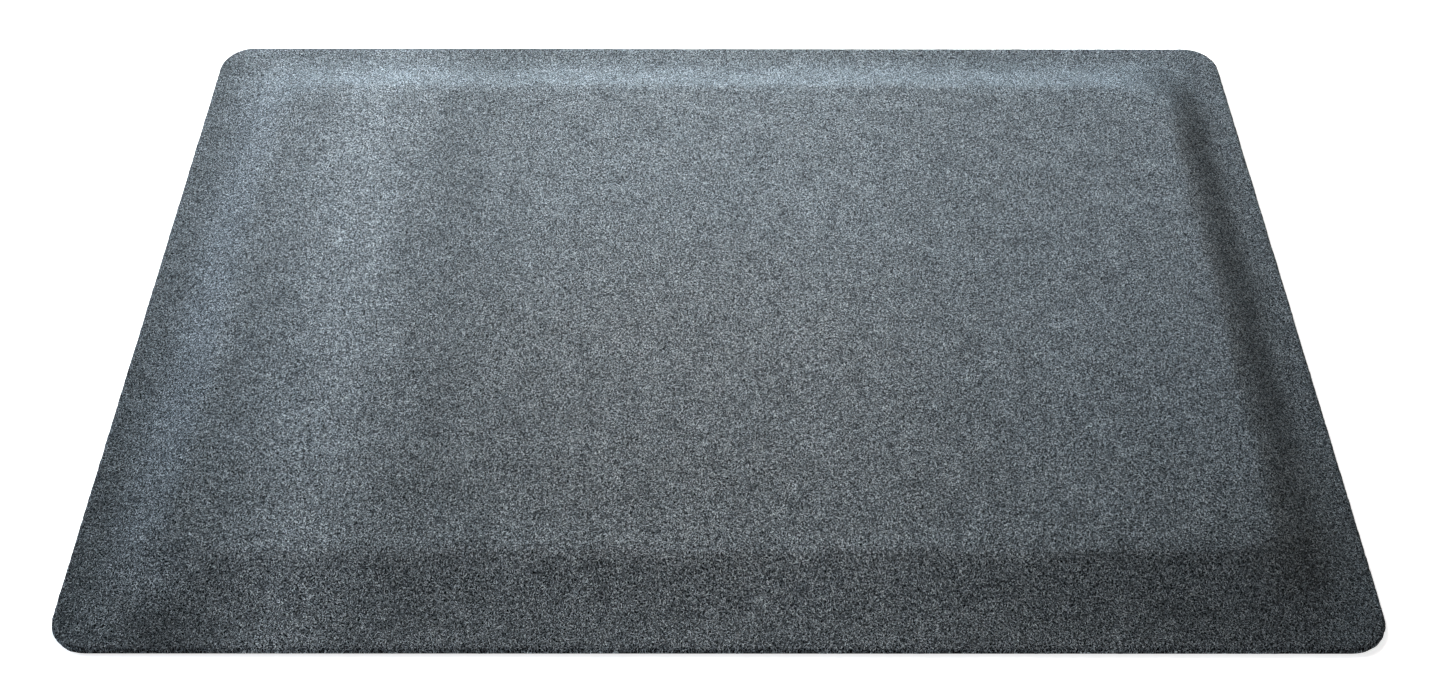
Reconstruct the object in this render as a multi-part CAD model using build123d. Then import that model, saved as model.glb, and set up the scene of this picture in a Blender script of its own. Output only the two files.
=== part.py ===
from build123d import *
import os

# Anti fatigue mat: a moulded laminate of face fabric, two rubber sheets and a two-part foam core.
# Millimetres, +X along the long side, +Z up. The origin is on the floor, under the middle of the mat.

# The mat in plan
LENGTH = 914.4  # 36 in, along X
WIDTH = 609.6  # 24 in, along Y
CORNER_R = 28.0
FABRIC_INSET = 1.0  # the rubber edge stands this far outside the cut edge of the fabric
BASE_EDGE_R = 0.6  # the base's lower edge is rounded by the mould
SKIN_EDGE_R = 0.25  # the upper sheet's edge is only just softened

# The sloped bevel runs from its foot, at the flat flange, up to its crest, at the standing surface
FOOT_INSET = 24.0
FOOT_R = 58.0
CREST_INSET = 68.0
CREST_R = 40.0
TOP_EASE_R = 80.0  # the fabric turns over the crest and out of the foot in curves this large

# Heights above the floor, on the flange
BASE_TOP_Z = 1.8
SKIN_FLANGE_Z = 2.4
FABRIC_FLANGE_Z = 5.0

# Heights above the floor, on the standing surface
FOAM_SPLIT_Z = 8.0
FOAM_TOP_Z = 15.2
SKIN_TOP_Z = 16.0
FABRIC_TOP_Z = 19.0

# The underside: a flat rim round a shallow field of grip cleats, whose tips are level with the rim
RIM_WIDTH = 12.0
FIELD_DEPTH = 0.8
CLEAT_ROOT_R = 3.0
CLEAT_TIP_R = 2.2
CLEAT_PITCH = 30.0
CLEAT_ROOT_SINK = 0.3  # each cleat's root runs this far into the sheet, so that they are one solid
CLEAT_CLEARANCE = 6.0  # least distance from a cleat's centre to the rim


def plan(inset, radius, z):
    """A rounded rectangle that far inside the mat's outline, as a face at height z."""
    return Pos(0, 0, z) * RectangleRounded(LENGTH - 2 * inset, WIDTH - 2 * inset, radius).face()


def slab(inset, radius, low, high):
    """A flat sheet of that outline between two heights."""
    return extrude(plan(inset, radius, low), amount=high - low)


def mound(low, high):
    """The raised middle: the foot outline at the low height, ramped in to the crest outline."""
    return loft([plan(FOOT_INSET, FOOT_R, low), plan(CREST_INSET, CREST_R, high)], ruled=True)


def face_fabric():
    top = slab(FABRIC_INSET, CORNER_R - FABRIC_INSET, SKIN_FLANGE_Z, FABRIC_FLANGE_Z)
    top += mound(FABRIC_FLANGE_Z, FABRIC_TOP_Z)
    crest = top.edges().group_by(Axis.Z)[-1]
    top = fillet(crest, TOP_EASE_R)
    foot = [e for e in top.edges() if is_foot(e)]
    top = fillet(foot, TOP_EASE_R)
    return top - mound(SKIN_FLANGE_Z, SKIN_TOP_Z)


def is_foot(edge):
    """Whether an edge of the fabric's top is where the bevel meets the flange."""
    box = edge.bounding_box()
    level = abs(box.min.Z - FABRIC_FLANGE_Z) < 0.01 and abs(box.max.Z - FABRIC_FLANGE_Z) < 0.01
    reach = max(abs(edge.center().X) / LENGTH, abs(edge.center().Y) / WIDTH)
    return level and reach < 0.5 - 0.6 * FOOT_INSET / LENGTH


def upper_rubber_skin():
    flange = slab(0, CORNER_R, BASE_TOP_Z, SKIN_FLANGE_Z)
    flange = fillet(flange.faces().sort_by(Axis.Z)[-1].edges(), SKIN_EDGE_R)
    return flange + mound(SKIN_FLANGE_Z, SKIN_TOP_Z) - mound(BASE_TOP_Z, FOAM_TOP_Z)


def foam_layers():
    """The foam core, cut level into its firm lower sheet and its soft upper sheet."""
    core = mound(BASE_TOP_Z, FOAM_TOP_Z)
    cut = Plane.XY.offset(FOAM_SPLIT_Z)
    return split(core, bisect_by=cut, keep=Keep.BOTTOM), split(core, bisect_by=cut, keep=Keep.TOP)


def cleat_places():
    """Centres of the cleats, on a staggered grid that stays clear of the rim."""
    row_step = CLEAT_PITCH * 3**0.5 / 2
    reach_x = LENGTH / 2 - RIM_WIDTH - CLEAT_CLEARANCE
    reach_y = WIDTH / 2 - RIM_WIDTH - CLEAT_CLEARANCE
    corner = CORNER_R - RIM_WIDTH
    places = []
    rows = int(reach_y // row_step)
    columns = int(reach_x // CLEAT_PITCH) + 1
    for row in range(-rows, rows + 1):
        shift = CLEAT_PITCH / 2 if row % 2 else 0
        for column in range(-columns, columns + 1):
            x, y = column * CLEAT_PITCH + shift, row * row_step
            in_corner = abs(x) > reach_x - corner and abs(y) > reach_y - corner
            if abs(x) <= reach_x and not in_corner:
                places.append((x, y))
    return places


def cleated_rubber_base():
    sheet = slab(0, CORNER_R, 0, BASE_TOP_Z)
    sheet = fillet(sheet.faces().sort_by(Axis.Z)[0].edges(), BASE_EDGE_R)
    sheet -= slab(RIM_WIDTH, CORNER_R - RIM_WIDTH, 0, FIELD_DEPTH)
    height = FIELD_DEPTH + CLEAT_ROOT_SINK
    slope = (CLEAT_ROOT_R - CLEAT_TIP_R) / FIELD_DEPTH
    standing = (Align.CENTER, Align.CENTER, Align.MIN)
    cleat = Cone(CLEAT_TIP_R, CLEAT_TIP_R + slope * height, height, align=standing)
    return sheet + [Pos(x, y, 0) * cleat for x, y in cleat_places()]


def main():
    os.makedirs("parts", exist_ok=True)
    support_foam, comfort_foam = foam_layers()
    nodes = {
        "face_fabric": face_fabric(),
        "upper_rubber_skin": upper_rubber_skin(),
        "comfort_foam": comfort_foam,
        "support_foam": support_foam,
        "cleated_rubber_base": cleated_rubber_base(),
    }
    for name, shape in nodes.items():
        export_step(shape, f"parts/{name}.step")


main()
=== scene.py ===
import math

import bmesh
import bpy
import numpy as np
from mathutils import Euler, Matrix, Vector


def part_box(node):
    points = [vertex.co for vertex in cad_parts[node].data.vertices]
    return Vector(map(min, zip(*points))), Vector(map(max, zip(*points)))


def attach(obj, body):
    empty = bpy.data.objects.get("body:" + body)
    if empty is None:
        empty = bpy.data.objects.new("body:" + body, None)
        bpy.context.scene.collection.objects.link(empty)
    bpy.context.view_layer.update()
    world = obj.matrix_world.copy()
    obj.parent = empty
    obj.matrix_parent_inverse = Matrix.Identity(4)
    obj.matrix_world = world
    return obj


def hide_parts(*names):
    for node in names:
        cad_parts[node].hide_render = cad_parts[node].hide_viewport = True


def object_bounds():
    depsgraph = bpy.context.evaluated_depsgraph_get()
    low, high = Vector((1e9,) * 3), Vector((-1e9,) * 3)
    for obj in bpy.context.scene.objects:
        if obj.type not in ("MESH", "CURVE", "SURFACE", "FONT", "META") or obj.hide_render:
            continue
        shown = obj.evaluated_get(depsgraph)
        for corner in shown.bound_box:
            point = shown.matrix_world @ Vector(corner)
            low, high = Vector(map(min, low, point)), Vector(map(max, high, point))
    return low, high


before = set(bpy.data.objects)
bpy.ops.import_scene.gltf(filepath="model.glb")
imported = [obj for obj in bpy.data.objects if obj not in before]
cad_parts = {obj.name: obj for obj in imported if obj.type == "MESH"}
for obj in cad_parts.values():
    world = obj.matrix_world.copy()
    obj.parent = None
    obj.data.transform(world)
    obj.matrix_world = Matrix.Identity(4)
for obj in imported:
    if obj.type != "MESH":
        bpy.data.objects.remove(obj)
cad_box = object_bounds()

MM = 0.001

# The mat in plan and in section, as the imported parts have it
RUBBER_X, RUBBER_Y = Vector(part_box("cleated_rubber_base")[1]).xy
FABRIC_X, FABRIC_Y, TOP = Vector(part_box("face_fabric")[1])
FABRIC_INSET = RUBBER_X - FABRIC_X
RUBBER_CORNER = 28 * MM
FABRIC_CORNER = RUBBER_CORNER - FABRIC_INSET
FLANGE_TOP = 5.0 * MM
SKIN_FLANGE, SKIN_TOP = 2.4 * MM, 16.0 * MM
FOAM_LOW, FOAM_SPLIT, FOAM_TOP = 1.8 * MM, 8.0 * MM, 15.2 * MM
FOOT_INSET, FOOT_CORNER = 24 * MM, 58 * MM
CREST_INSET, CREST_CORNER = 68 * MM, 40 * MM

# The top of the fabric's bevel: a slope whose ends are rounded over these reaches, wide at the foot
SLOPE_FOOT, FOOT_REACH = 29 * MM, 15 * MM
SLOPE_CREST, CREST_REACH = 67 * MM, 5 * MM
CORNER_BLEND = 50 * MM  # how far from a corner's diagonal the slopes of its two sides merge
RIGHTWARD = 3 * MM  # the raised part stands this far to the right of the middle
CROWN_DROP = 0.5 * MM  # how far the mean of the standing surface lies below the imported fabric's top
PUCKER_SIZE, PUCKER_OUT = 12 * MM, 2 * MM  # how wide the bevel's puckers are, and how far out they go
CURL_DROP, CURL_REACH = 0.35 * MM, 0.9 * MM  # how the nap bends down at the cut edge
GRID_STEP = 1.5 * MM

# The nap: ridges of fibre that run several ways, over clumps and lumps
RIDGE_DIRECTIONS = 5
RIDGE_LENGTH, RIDGE_WIDTH, RIDGE_HEIGHT = 2.6 * MM, 0.9 * MM, 0.09 * MM
CLUMP_SIZE, CLUMP_HEIGHT = 4 * MM, 0.03 * MM
LUMP_SIZE, LUMP_HEIGHT = 14 * MM, 0.08 * MM
FLANGE_NAP = 0.55  # the share of its height that the nap keeps where it is pressed flat on the flange

# The hem of loose fibres at the cut edge, which hangs out over the rubber's own edge
TUCK = 0.5 * MM  # where the top rolls over into the cut edge
HEM_OUT, HEM_TURN = 1.25 * MM, 1.03 * MM
HEM_BOTTOM = SKIN_FLANGE - 1.0 * MM

# The fabric's fibres, the marks of use on it, and a painted shadow on its flange
FIBRE_LAYERS = 5
DUSTY_SPOT = (-0.03, -0.10, 0.0)  # where people stand
SCUFFED_SPOT = (0.36, -0.265, 0.0)  # where their shoes rub past
BUCKLE_SHADOW_SPOT = (-0.385, -0.29, 0.0)  # where a buckle in the front flange is shaded: a painted shadow


# ---------------------------------------------------------------- shapes


def bend(u, reach):
    """Nought below nought and u above it, with the corner rounded over that reach on each side."""
    return np.where(u < -reach, 0, np.where(u > reach, u, (u + reach) ** 2 / (4 * reach)))


def round_corners(x, y, half_x, half_y, radius):
    """Moves the points of a rectangle so that its corners become quarter circles of that radius."""
    s = np.clip((np.abs(x) - (half_x - radius)) / radius, 0, 1)
    t = np.clip((np.abs(y) - (half_y - radius)) / radius, 0, 1)
    corner = (s > 0) & (t > 0)
    new_x = np.where(corner, half_x - radius + radius * s * np.sqrt(1 - t * t / 2), np.abs(x))
    new_y = np.where(corner, half_y - radius + radius * t * np.sqrt(1 - s * s / 2), np.abs(y))
    return np.sign(x) * new_x, np.sign(y) * new_y


def edge_distance(x, y, half_x, half_y, radius):
    """How far inside a rounded rectangle each point is."""
    qx, qy = np.abs(x) - (half_x - radius), np.abs(y) - (half_y - radius)
    past = np.hypot(np.maximum(qx, 0), np.maximum(qy, 0)) + np.minimum(np.maximum(qx, qy), 0)
    return radius - past


def outward(x, y, half_x, half_y, radius):
    """The direction out of a rounded rectangle at points on its outline."""
    qx = np.maximum(np.abs(x) - (half_x - radius), 0)
    qy = np.maximum(np.abs(y) - (half_y - radius), 0)
    size = np.hypot(qx, qy)
    return np.sign(x) * qx / size, np.sign(y) * qy / size


def smeared(field, step, sigma_along, sigma_across, angle):
    """Noise smeared along one direction, scaled to a standard deviation of 1. It wraps round."""
    fy = np.fft.fftfreq(field.shape[0], step)[:, None]
    fx = np.fft.rfftfreq(field.shape[1], step)[None, :]
    along = fx * math.cos(angle) + fy * math.sin(angle)
    across = fy * math.cos(angle) - fx * math.sin(angle)
    reach = (along * sigma_along) ** 2 + (across * sigma_across) ** 2
    out = np.fft.irfft2(np.fft.rfft2(field) * np.exp(-2 * math.pi**2 * reach), s=field.shape)
    return out / out.std()


def nap_relief(shape, step):
    """Tangled ridges of punched fibre over small clumps and slow lumps, in metres."""
    rng = np.random.default_rng(7)
    ridges = np.full(shape, -np.inf)
    for k in range(RIDGE_DIRECTIONS):
        angle = math.pi * (k + 0.3) / RIDGE_DIRECTIONS
        ridge = smeared(rng.standard_normal(shape), step, RIDGE_LENGTH, RIDGE_WIDTH, angle)
        ridges = np.maximum(ridges, ridge)
    clumps = smeared(rng.standard_normal(shape), step, CLUMP_SIZE, CLUMP_SIZE, 0)
    lumps = smeared(rng.standard_normal(shape), step, LUMP_SIZE, LUMP_SIZE, 0)
    return RIDGE_HEIGHT * (ridges - ridges.mean()) + CLUMP_HEIGHT * clumps + LUMP_HEIGHT * lumps


def puckers(shape, step):
    """How far the bevel strays outward from its straight line, in metres."""
    field = np.random.default_rng(5).standard_normal(shape)
    strays = smeared(field, step, PUCKER_SIZE, PUCKER_SIZE, 0)
    return np.clip(PUCKER_OUT * (0.2 + 0.3 * strays), -0.1 * PUCKER_OUT, PUCKER_OUT)


def wave(along, height, length, start):
    return height * np.sin(2 * math.pi * (along - start) / length)


def roll_waves(x, y):
    """The slow waves that rolling leaves in a mat. Their ridges run from the front to the back."""
    swayed = x + 8 * MM * np.sin(9 * y)
    near_left = np.exp(-(((x + 0.27) / 0.13) ** 2))
    left = wave(swayed, height=0.55 * MM, length=0.19, start=-0.335) * near_left
    return left + wave(swayed, height=0.25 * MM, length=0.26, start=0.05)


def fabric_top(x, y):
    """The top of the fabric: flange, bevel and standing surface, with its waves and its nap."""
    inside = edge_distance(x, y, RUBBER_X, RUBBER_Y, RUBBER_CORNER)
    from_side, from_end = RUBBER_X - np.abs(x - RIGHTWARD), RUBBER_Y - np.abs(y)
    merge = np.clip(1 - np.abs(from_side - from_end) / CORNER_BLEND, 0, 1)
    up_slope = np.minimum(from_side, from_end) - merge**2 * CORNER_BLEND / 4
    up_slope += puckers(x.shape, GRID_STEP)
    climb = bend(up_slope - SLOPE_FOOT, FOOT_REACH) - bend(up_slope - SLOPE_CREST, CREST_REACH)
    climb /= SLOPE_CREST - SLOPE_FOOT
    nap = nap_relief(x.shape, GRID_STEP) * (FLANGE_NAP + (1 - FLANGE_NAP) * climb)
    curl = CURL_DROP * np.exp((FABRIC_INSET - inside) / CURL_REACH)
    crown = TOP - CROWN_DROP - FLANGE_TOP
    return FLANGE_TOP + crown * climb + roll_waves(x, y) * climb + nap - curl


def fabric_mesh():
    """The fabric as a closed sheet: a fine grid on top, a ragged cut edge, and a plain underside."""
    nx, ny = round(2 * FABRIC_X / GRID_STEP), round(2 * FABRIC_Y / GRID_STEP)
    across, up = np.meshgrid(np.linspace(-1, 1, nx + 1), np.linspace(-1, 1, ny + 1))
    size = (FABRIC_X - TUCK, FABRIC_Y - TUCK)
    x, y = round_corners(across * size[0], up * size[1], *size, FABRIC_CORNER - TUCK)
    points = [np.stack([x, y, fabric_top(x, y)], -1).reshape(-1, 3)]
    index = np.arange(x.size).reshape(x.shape)
    corners = [index[:-1, :-1], index[:-1, 1:], index[1:, 1:], index[1:, :-1]]
    quads = [np.stack(corners, -1).reshape(-1, 4)]

    rim = np.concatenate([index[0, :-1], index[:-1, -1], index[-1, :0:-1], index[:0:-1, 0]])
    side_x, side_y = across.ravel()[rim], up.ravel()[rim]
    rng = np.random.default_rng(11)
    # inset, corner radius, height and raggedness of each ring: down the hem, back in under it, along
    # the rubber skin's flange and up its slope
    rings = (
        (-0.25 * MM, FABRIC_CORNER, FLANGE_TOP - 0.9 * MM, 0.10 * MM),
        (-0.75 * MM, FABRIC_CORNER, FLANGE_TOP - 2.0 * MM, 0.12 * MM),
        (-HEM_OUT, RUBBER_CORNER, HEM_BOTTOM, 0.10 * MM),
        (-HEM_TURN, RUBBER_CORNER, HEM_BOTTOM + 0.1 * MM, 0),
        (-HEM_TURN, RUBBER_CORNER, SKIN_FLANGE, 0),
        (FOOT_INSET - FABRIC_INSET, FOOT_CORNER, SKIN_FLANGE, 0),
        (CREST_INSET - FABRIC_INSET, CREST_CORNER, SKIN_TOP, 0),
    )
    last, count = rim, index.size
    for inset, radius, height, rough in rings:
        half = (FABRIC_X - inset, FABRIC_Y - inset)
        ring_x, ring_y = round_corners(side_x * half[0], side_y * half[1], *half, radius)
        out_x, out_y = outward(ring_x, ring_y, *half, radius)
        ragged = rng.standard_normal(len(rim))
        ragged = rough * np.clip(ragged + np.roll(ragged, 1) + np.roll(ragged, 2), -3, 3)
        ring_x, ring_y = ring_x + ragged * out_x, ring_y + ragged * out_y
        points.append(np.stack([ring_x, ring_y, np.full(len(rim), height)], -1))
        ring = np.arange(count, count + len(rim))
        quads.append(np.stack([last, ring, np.roll(ring, -1), np.roll(last, -1)], -1))
        last, count = ring, count + len(rim)
    return np.concatenate(points), np.concatenate(quads), [last[::-1]]


def foam_mesh(low_z, high_z):
    """One sheet of the foam core, cut to the slope of the bevel, with edges softened by the knife."""
    step, soft = 4 * MM, 0.4 * MM
    nx, ny = round(2 * RUBBER_X / step), round(2 * RUBBER_Y / step)
    across, up = np.linspace(-1, 1, nx + 1), np.linspace(-1, 1, ny + 1)
    side_x = np.concatenate([across[:-1], np.ones(ny), across[:0:-1], -np.ones(ny)])
    side_y = np.concatenate([-np.ones(nx), up[:-1], np.ones(nx), up[:0:-1]])
    easing = ((0, 0.9), (0.3, 0.3), (1, 0))  # height and inset of the rounded edge, in softs
    levels = [(low_z + soft * rise, soft * draw) for rise, draw in easing]
    levels += [(high_z - soft * rise, soft * draw) for rise, draw in reversed(easing)]
    points, quads, last = [], [], None
    for k, (z, draw) in enumerate(levels):
        share = (z - FOAM_LOW) / (FOAM_TOP - FOAM_LOW)
        inset = FOOT_INSET + (CREST_INSET - FOOT_INSET) * share + draw
        radius = FOOT_CORNER + (CREST_CORNER - FOOT_CORNER) * share
        half = (RUBBER_X - inset, RUBBER_Y - inset)
        ring_x, ring_y = round_corners(side_x * half[0], side_y * half[1], *half, radius)
        points.append(np.stack([ring_x, ring_y, np.full(len(side_x), z)], -1))
        ring = np.arange(k * len(side_x), (k + 1) * len(side_x))
        if last is not None:
            quads.append(np.stack([last, np.roll(last, -1), np.roll(ring, -1), ring], -1))
        last = ring
    first = np.arange(len(side_x))[::-1]
    return np.concatenate(points), np.concatenate(quads), [first, last]


def mesh_object(name, points, quads, caps):
    """A smooth-shaded object from points, quads and a few faces with more corners."""
    mesh = bpy.data.meshes.new(name)
    loops = np.concatenate([quads.ravel(), *caps]).astype(np.int32)
    sizes = np.array([4] * len(quads) + [len(c) for c in caps], np.int32)
    mesh.vertices.add(len(points))
    mesh.vertices.foreach_set("co", points.astype(np.float32).ravel())
    mesh.loops.add(len(loops))
    mesh.loops.foreach_set("vertex_index", loops)
    mesh.polygons.add(len(sizes))
    mesh.polygons.foreach_set("loop_start", np.cumsum(sizes, dtype=np.int32) - sizes)
    mesh.polygons.foreach_set("use_smooth", np.ones(len(sizes), bool))
    mesh.update(calc_edges=True)
    mesh.validate()
    obj = bpy.data.objects.new(name, mesh)
    bpy.context.scene.collection.objects.link(obj)
    return obj


# ---------------------------------------------------------------- materials


def add(tree, kind, inputs=None, **settings):
    """A new node with its settings and its inputs, which are values or other nodes' outputs."""
    node = tree.nodes.new(kind)
    for key, value in settings.items():
        setattr(node, key, value)
    for key, value in (inputs or {}).items():
        if isinstance(value, bpy.types.NodeSocket):
            tree.links.new(value, node.inputs[key])
        else:
            node.inputs[key].default_value = value
    return node


def maths(tree, operation, a, b=0.0, c=0.0, clamp=False):
    inputs = {0: a, 1: b, 2: c}
    return add(tree, "ShaderNodeMath", inputs, operation=operation, use_clamp=clamp).outputs[0]


def vector_maths(tree, operation, a, b):
    return add(tree, "ShaderNodeVectorMath", {0: a, 1: b}, operation=operation).outputs[0]


def ramp(tree, factor, stops, interpolation="LINEAR"):
    node = add(tree, "ShaderNodeValToRGB", {0: factor})
    node.color_ramp.interpolation = interpolation
    while len(node.color_ramp.elements) < len(stops):
        node.color_ramp.elements.new(0.5)
    for element, (place, colour) in zip(node.color_ramp.elements, stops):
        element.position = place
        element.color = (*colour, 1) if hasattr(colour, "__len__") else (colour, colour, colour, 1)
    return node.outputs[0]


def noise(tree, where, scale, detail=2.0, roughness=0.5, output=0):
    inputs = {"Vector": where, "Scale": scale, "Detail": detail, "Roughness": roughness}
    return add(tree, "ShaderNodeTexNoise", inputs).outputs[output]


def mixed(tree, factor, a, b, blend="MIX"):
    node = add(tree, "ShaderNodeMix", {0: factor, 6: a, 7: b}, data_type="RGBA", blend_type=blend)
    return node.outputs[2]


def bumped(tree, shader, height, strength, distance):
    bump = add(tree, "ShaderNodeBump", {"Height": height, "Strength": strength, "Distance": distance})
    tree.links.new(bump.outputs[0], shader.inputs["Normal"])


def new_material(name):
    """A material's node tree, its shader, and where each point is on the object, in metres."""
    material = bpy.data.materials.new(name)
    material.use_nodes = True
    tree = material.node_tree
    where = add(tree, "ShaderNodeTexCoord").outputs["Object"]
    return material, tree, tree.nodes["Principled BSDF"], where


def fibre_layer_group():
    """A scattered layer of short, bent fibres in millimetres, each with its own direction and tone."""
    tree = bpy.data.node_groups.new("fibre_layer", "ShaderNodeTree")
    tree.interface.new_socket("Place", in_out="INPUT", socket_type="NodeSocketVector")
    for name in ("Cell", "Half Length", "Radius"):
        tree.interface.new_socket(name, in_out="INPUT", socket_type="NodeSocketFloat")
    for name in ("Height", "Tone"):
        tree.interface.new_socket(name, in_out="OUTPUT", socket_type="NodeSocketFloat")
    place, cell, half_length, radius = tree.nodes.new("NodeGroupInput").outputs[:4]
    made = tree.nodes.new("NodeGroupOutput").inputs

    # one fibre to a cell, turned its own way and bent into a parabola
    scattered = {"Vector": place, "Scale": maths(tree, "DIVIDE", 1.0, cell)}
    cells = add(tree, "ShaderNodeTexVoronoi", scattered, voronoi_dimensions="2D").outputs
    direction, curve, tone = add(tree, "ShaderNodeSeparateColor", {0: cells["Color"]}).outputs
    turn = {
        "Vector": vector_maths(tree, "SUBTRACT", place, cells["Position"]),
        "Angle": maths(tree, "MULTIPLY", direction, 2 * math.pi),
    }
    turned = add(tree, "ShaderNodeVectorRotate", turn, rotation_type="Z_AXIS").outputs[0]
    along, across, _ = add(tree, "ShaderNodeSeparateXYZ", {0: turned}).outputs
    curve = maths(tree, "SUBTRACT", curve, 0.5)
    bent = maths(tree, "MULTIPLY_ADD", maths(tree, "MULTIPLY", along, along), curve, across)

    # its rounded section, lifted by its own amount
    past_end = maths(tree, "SUBTRACT", maths(tree, "ABSOLUTE", along), half_length)
    past_end = maths(tree, "MAXIMUM", past_end, 0.0)
    away = maths(tree, "MULTIPLY_ADD", bent, bent, maths(tree, "MULTIPLY", past_end, past_end))
    share = maths(tree, "DIVIDE", away, maths(tree, "MULTIPLY", radius, radius))
    dome = maths(tree, "SQRT", maths(tree, "SUBTRACT", 1.0, share, clamp=True))
    lift = maths(tree, "FRACT", maths(tree, "MULTIPLY", tone, 7.31))
    lift = maths(tree, "MULTIPLY", lift, 0.35)
    present = maths(tree, "GREATER_THAN", dome, 0.001)
    height = maths(tree, "MULTIPLY", present, maths(tree, "MULTIPLY_ADD", dome, 0.65, lift))
    tree.links.new(height, made["Height"])
    tree.links.new(tone, made["Tone"])
    return tree


def tangled_fibres(tree, place):
    """Layers of fibres laid over each other: the height of the topmost one and its tone."""
    group = fibre_layer_group()
    height, tone = 0.0, 0.0
    for k in range(FIBRE_LAYERS):
        # each layer starts further off than the mat is long, so no two layers share a pattern
        shifted = vector_maths(tree, "ADD", place, (1300.0 * k, 900.0 * k, 0))
        layer = add(tree, "ShaderNodeGroup", node_tree=group)
        tree.links.new(shifted, layer.inputs["Place"])
        layer.inputs["Cell"].default_value = 1.4 + 0.1 * (k % 3)
        layer.inputs["Half Length"].default_value = 0.48 + 0.05 * k
        layer.inputs["Radius"].default_value = 0.21 + 0.015 * (k % 4)
        over = maths(tree, "GREATER_THAN", layer.outputs["Height"], height)
        tones = {0: over, 2: tone, 3: layer.outputs["Tone"]}
        tone = add(tree, "ShaderNodeMix", tones, data_type="FLOAT").outputs[0]
        height = maths(tree, "MAXIMUM", height, layer.outputs["Height"])
    return height, tone


def spot(tree, where, centre, narrowing, tint):
    """A soft patch of a tint to multiply by. It fades to white 1 / narrowing metres from its centre."""
    away = vector_maths(tree, "MULTIPLY", vector_maths(tree, "SUBTRACT", where, centre), narrowing)
    distance = add(tree, "ShaderNodeVectorMath", {0: away}, operation="LENGTH").outputs["Value"]
    return ramp(tree, distance, [(0.2, tint), (1.0, 1.0)], "EASE")


def nap_tone_and_painted_light(tree, in_mm, share):
    """Factors: cloudy patches in how the nap lies, and bands along the mat, partly nap lay and partly
    painted light and shade, such as a lighter left slope.
    """
    patches = ramp(tree, noise(tree, in_mm, 0.045, 3.0, 0.6), [(0.25, 0.80), (0.75, 1.20)])
    # painted light and shade: bands along the mat, lighter and darker by turns, partly nap lay
    nap_and_painted_light_bands = ramp(tree, share, [
        (0.0, 0.85), (0.06, 1.22), (0.10, 0.99), (0.17, 1.23), (0.26, 0.83), (0.36, 0.97), (0.5, 0.99),
        (0.61, 1.07), (0.71, 1.03), (0.83, 1.17), (0.92, 1.32), (1.0, 1.28),
    ], "EASE")
    return patches, nap_and_painted_light_bands


def slope_painted_shade(tree, x, z, to_front):
    """Factors of painted shade: darker on the low flange, and darker on the right slope, less so
    towards the front.
    """
    rise = maths(tree, "DIVIDE", z, TOP)
    # painted shade: the low flange darker than the rest
    flange_painted_shade = ramp(tree, rise, [(0.22, 0.86), (0.45, 1.0)])
    # painted shade: the right slope darker, fading towards the front
    at_right = ramp(tree, maths(tree, "DIVIDE", x, FABRIC_X), [(0.80, 0.0), (0.86, 1.0)])
    on_slope = ramp(tree, rise, [(0.30, 0.0), (0.42, 1.0), (0.62, 1.0), (0.88, 0.0)])
    fading = ramp(tree, to_front, [(0.6, 1.0), (0.9, 0.25)], "EASE")
    right_slope_painted_shade = maths(tree, "MULTIPLY", maths(tree, "MULTIPLY", at_right, on_slope), fading)
    return flange_painted_shade, maths(tree, "MULTIPLY_ADD", right_slope_painted_shade, -0.36, 1.0)


def wear_and_painted_light(tree, where, share, to_front):
    """Factors: painted shade towards the front's ends, painted light that makes the front lighter and
    warmer, dust where people stand, a scuff, and a painted shadow of a buckle in the flange.
    """
    # painted shade: darker towards both ends of the front
    ends = ramp(tree, share, [
        (0.0, 1.0), (0.07, 0.9), (0.16, 0.36), (0.3, 0.12), (0.5, 0.0), (0.7, 0.15), (1.0, 1.0),
    ], "EASE")
    front_ends_painted_shade = maths(tree, "MULTIPLY_ADD", maths(tree, "MULTIPLY", ends, to_front), -0.42, 1.0)
    # painted light: lighter and warmer towards the front
    front_painted_light = ramp(tree, to_front, [
        (0.0, 0.93), (0.45, 1.0), (0.58, 1.05), (0.7, 1.02), (0.8, (1.08, 1.065, 1.05)),
        (0.88, (1.32, 1.295, 1.27)), (0.92, (1.52, 1.49, 1.46)), (1.0, (1.56, 1.53, 1.50)),
    ], "EASE")
    dust = spot(tree, where, DUSTY_SPOT, (3.0, 4.5, 0), (1.03, 0.99, 0.96))
    scuff = spot(tree, where, SCUFFED_SPOT, (3.8, 13.0, 0), (0.79, 0.79, 0.79))
    # painted shadow of a buckle in the front flange
    buckle_painted_shadow = spot(tree, where, BUCKLE_SHADOW_SPOT, (19.0, 32.0, 0), (0.72, 0.72, 0.72))
    return front_ends_painted_shade, front_painted_light, dust, scuff, buckle_painted_shadow


def fibre_colour(tree, height, tone, to_front):
    """Heathered fibres with painted shade on their sunken parts and in the gaps between them. Towards
    the front the painted shade reaches further up the fibres.
    """
    fibre = ramp(tree, tone, [
        (0.0, (0.035, 0.044, 0.052)),
        (0.35, (0.145, 0.176, 0.203)),
        (0.7, (0.300, 0.356, 0.396)),
        (1.0, (0.50, 0.565, 0.605)),
    ])
    sunk = maths(tree, "SUBTRACT", height, 0.095)
    # towards the front the painted shade reaches further up the fibres
    raised = ramp(tree, to_front, [(0.0, 0.12), (0.45, 0.10), (0.75, 0.08), (0.88, 0.03), (1.0, 0.0)])
    proud = maths(tree, "ADD", sunk, raised)
    # painted shade: fibres darker the deeper they lie, black in the gaps between them
    light = ramp(tree, proud, [(0.0, 0.0), (0.45, 0.02), (0.7, 0.45), (0.85, 1.15), (1.0, 1.45)])
    return mixed(tree, 1.0, fibre, light, "MULTIPLY")


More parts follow.
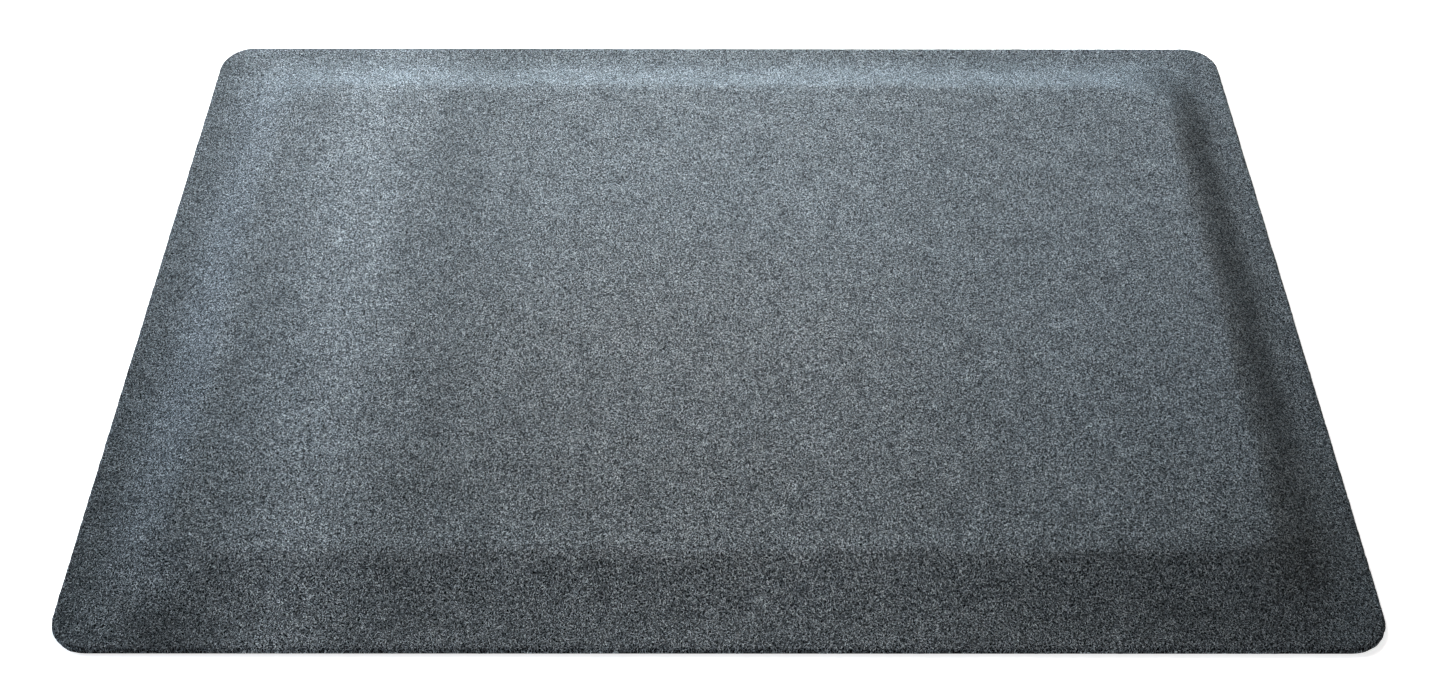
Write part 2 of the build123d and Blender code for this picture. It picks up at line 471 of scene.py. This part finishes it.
def fabric_material():
    material, tree, shader, where = new_material("needle_punched_fabric")
    in_mm = vector_maths(tree, "MULTIPLY", where, (1 / MM, 1 / MM, 0))
    wander = noise(tree, in_mm, 0.6, 1.0, output=1)
    wander = vector_maths(tree, "SUBTRACT", wander, (0.5, 0.5, 0.5))
    wander = vector_maths(tree, "MULTIPLY", wander, (1.0, 1.0, 0))
    height, tone = tangled_fibres(tree, vector_maths(tree, "ADD", in_mm, wander))

    # each point's share of the way from the left end to the right, with a sway, and from back to front
    x, y, z = add(tree, "ShaderNodeSeparateXYZ", {0: where}).outputs
    sway = maths(tree, "MULTIPLY_ADD", noise(tree, where, 5.0, 1.0), 0.05, -0.025)
    share = maths(tree, "MULTIPLY_ADD", maths(tree, "ADD", x, sway), 0.5 / FABRIC_X, 0.5)
    to_front = maths(tree, "MULTIPLY_ADD", y, -0.5 / FABRIC_Y, 0.5)

    colour = fibre_colour(tree, height, tone, to_front)
    factors = nap_tone_and_painted_light(tree, in_mm, share) + slope_painted_shade(tree, x, z, to_front)
    for factor in factors + wear_and_painted_light(tree, where, share, to_front):
        colour = mixed(tree, 1.0, colour, factor, "MULTIPLY")
    tree.links.new(colour, shader.inputs["Base Color"])
    tree.links.new(ramp(tree, tone, [(0.0, 0.98), (1.0, 0.80)]), shader.inputs["Roughness"])
    bumped(tree, shader, height, 0.9, 0.6 * MM)
    shader.inputs["Specular IOR Level"].default_value = 0.1
    return material


def rubber_material(name, colour, rough_low, rough_high):
    """Moulded nitrile rubber: almost black, with a fine grain, flow marks and a little dust."""
    material, tree, shader, where = new_material(name)
    flow = noise(tree, where, 22.0, 4.0, 0.6)
    base = ramp(tree, flow, [(0.3, [c * 0.8 for c in colour]), (0.7, [c * 1.35 for c in colour])])
    dust = ramp(tree, noise(tree, where, 900.0, 2.0, 0.7), [(0.66, 0.0), (0.80, 0.35)])
    tree.links.new(mixed(tree, dust, base, (0.09, 0.088, 0.082, 1)), shader.inputs["Base Color"])
    tree.links.new(ramp(tree, flow, [(0.3, rough_low), (0.7, rough_high)]), shader.inputs["Roughness"])
    bumped(tree, shader, noise(tree, where, 1600.0, 3.0, 0.6), 0.5, 0.12 * MM)
    shader.inputs["Specular IOR Level"].default_value = 0.4
    return material


def foam_material(name, colour, cell):
    """Closed-cell foam: a skin of fine pores, with painted shade in them, over slightly uneven colour.
    """
    material, tree, shader, where = new_material(name)
    pore = add(tree, "ShaderNodeTexVoronoi", {"Vector": where, "Scale": 1 / cell}).outputs["Distance"]
    cloud = noise(tree, where, 30.0, 3.0, 0.6)
    base = ramp(tree, cloud, [(0.3, [c * 0.85 for c in colour]), (0.7, [c * 1.2 for c in colour])])
    # painted shade: darker in the middle of each pore
    pore_painted_shade = ramp(tree, pore, [(0.15, 0.6), (0.55, 1.1)])
    tree.links.new(mixed(tree, 1.0, base, pore_painted_shade, "MULTIPLY"), shader.inputs["Base Color"])
    tree.links.new(ramp(tree, cloud, [(0.3, 0.82), (0.7, 0.95)]), shader.inputs["Roughness"])
    bumped(tree, shader, pore, 0.6, 0.3 * MM)
    shader.inputs["Specular IOR Level"].default_value = 0.25
    return material


# ---------------------------------------------------------------- the mat


def stand_in(name, node, mesh, material):
    """A detailed piece that takes the place of a CAD node."""
    obj = mesh_object(name, *mesh)
    obj.data.materials.append(material)
    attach(obj, "root")
    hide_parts(node)
    return obj


def dress(node, material):
    """Gives a CAD node its material."""
    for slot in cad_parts[node].material_slots:
        slot.material = material


def build_mat():
    fabric = stand_in("heather_face_fabric", "face_fabric", fabric_mesh(), fabric_material())
    foams = (
        ("comfort_foam", FOAM_SPLIT, FOAM_TOP, (0.09, 0.09, 0.095), 1.1 * MM),
        ("support_foam", FOAM_LOW, FOAM_SPLIT, (0.04, 0.04, 0.043), 0.7 * MM),
    )
    for node, low_z, high_z, colour, cell in foams:
        material = foam_material(node, colour, cell)
        foam = stand_in(f"{node}_sheet", node, foam_mesh(low_z, high_z), material)
    skin_rubber = rubber_material("upper_sheet_rubber", (0.018, 0.018, 0.019), 0.6, 0.75)
    dress("upper_rubber_skin", skin_rubber)
    dress("cleated_rubber_base", rubber_material("base_rubber", (0.02, 0.02, 0.021), 0.5, 0.7))


# ---------------------------------------------------------------- studio

STUDIO_REACH = 8.0  # half the floor's side, and the dome's radius


def build_floor():
    mesh = bpy.data.meshes.new("studio_floor")
    corners = [(x * STUDIO_REACH, y * STUDIO_REACH, 0) for x, y in ((-1, -1), (1, -1), (1, 1), (-1, 1))]
    mesh.from_pydata(corners, [], [(0, 1, 2, 3)])
    floor = bpy.data.objects.new("studio_floor", mesh)
    floor.location.z = cad_box[0][2] - 0.2 * MM
    bpy.context.scene.collection.objects.link(floor)
    material, _, shader, _ = new_material("studio_floor")
    shader.inputs["Base Color"].default_value = (0.86, 0.86, 0.86, 1)
    shader.inputs["Roughness"].default_value = 0.9
    shader.inputs["Emission Color"].default_value = (1, 1, 1, 1)
    shader.inputs["Emission Strength"].default_value = 0.8
    floor.data.materials.append(material)


def build_backdrop():
    """A pale dome round the floor. Only the camera sees it, so it sends no light onto the mat."""
    mesh = bpy.data.meshes.new("studio_backdrop")
    shell = bmesh.new()
    bmesh.ops.create_uvsphere(shell, u_segments=64, v_segments=32, radius=STUDIO_REACH)
    shell.to_mesh(mesh)
    shell.free()
    backdrop = bpy.data.objects.new("studio_backdrop", mesh)
    backdrop.visible_diffuse = backdrop.visible_glossy = backdrop.visible_shadow = False
    bpy.context.scene.collection.objects.link(backdrop)
    material, _, shader, _ = new_material("studio_backdrop")
    shader.inputs["Base Color"].default_value = (0, 0, 0, 1)
    shader.inputs["Emission Color"].default_value = (0.93, 0.94, 0.95, 1)
    shader.inputs["Emission Strength"].default_value = 1.0
    backdrop.data.materials.append(material)


def softbox(name, place, aim, size, power, colour):
    light = bpy.data.lights.new(name, "AREA")
    light.shape, light.size, light.energy, light.color = "DISK", size, power, colour
    obj = bpy.data.objects.new(name, light)
    obj.location = place
    obj.rotation_euler = (Vector(aim) - Vector(place)).to_track_quat("-Z", "Y").to_euler()
    bpy.context.scene.collection.objects.link(obj)


def build_lights():
    softbox("overhead_key", (-0.15, 0.45, 0.80), (-0.09, 0.14, 0), 0.45, 12.2, (1.0, 0.93, 0.87))
    softbox("left_window", (-2.2, 0.3, 0.85), (0, 0, 0), 0.9, 42.0, (0.63, 0.80, 1.0))
    softbox("back_window", (0, 1.7, 0.22), (0, 0, 0), 0.4, 45.0, (0.72, 0.89, 1.0))
    world = bpy.data.worlds.new("studio")
    world.use_nodes = True
    background = world.node_tree.nodes["Background"].inputs
    background["Color"].default_value = (0.95, 0.97, 1.0, 1)
    background["Strength"].default_value = 0.03
    bpy.context.scene.world = world
    bpy.context.scene.view_settings.view_transform = "Standard"


def build_camera():
    target = Vector((0, -0.042, 0))
    elevation, distance = math.radians(52.3), 1.161
    yaw, roll = math.radians(-0.2), math.radians(0.2)  # a hand-held camera is never quite square
    camera = bpy.data.cameras.new("camera")
    camera.lens, camera.sensor_width = 36.8, 36
    obj = bpy.data.objects.new("camera", camera)
    obj.location = target + distance * Vector((0, -math.cos(elevation), math.sin(elevation)))
    turns = (Euler((0, 0, yaw)), Euler((math.pi / 2 - elevation, 0, 0)), Euler((0, 0, roll)))
    pan, tilt, bank = (turn.to_quaternion() for turn in turns)
    obj.rotation_euler = (pan @ tilt @ bank).to_euler()
    bpy.context.scene.collection.objects.link(obj)
    bpy.context.scene.camera = obj


build_mat()
build_floor()
build_backdrop()
build_lights()
build_camera()
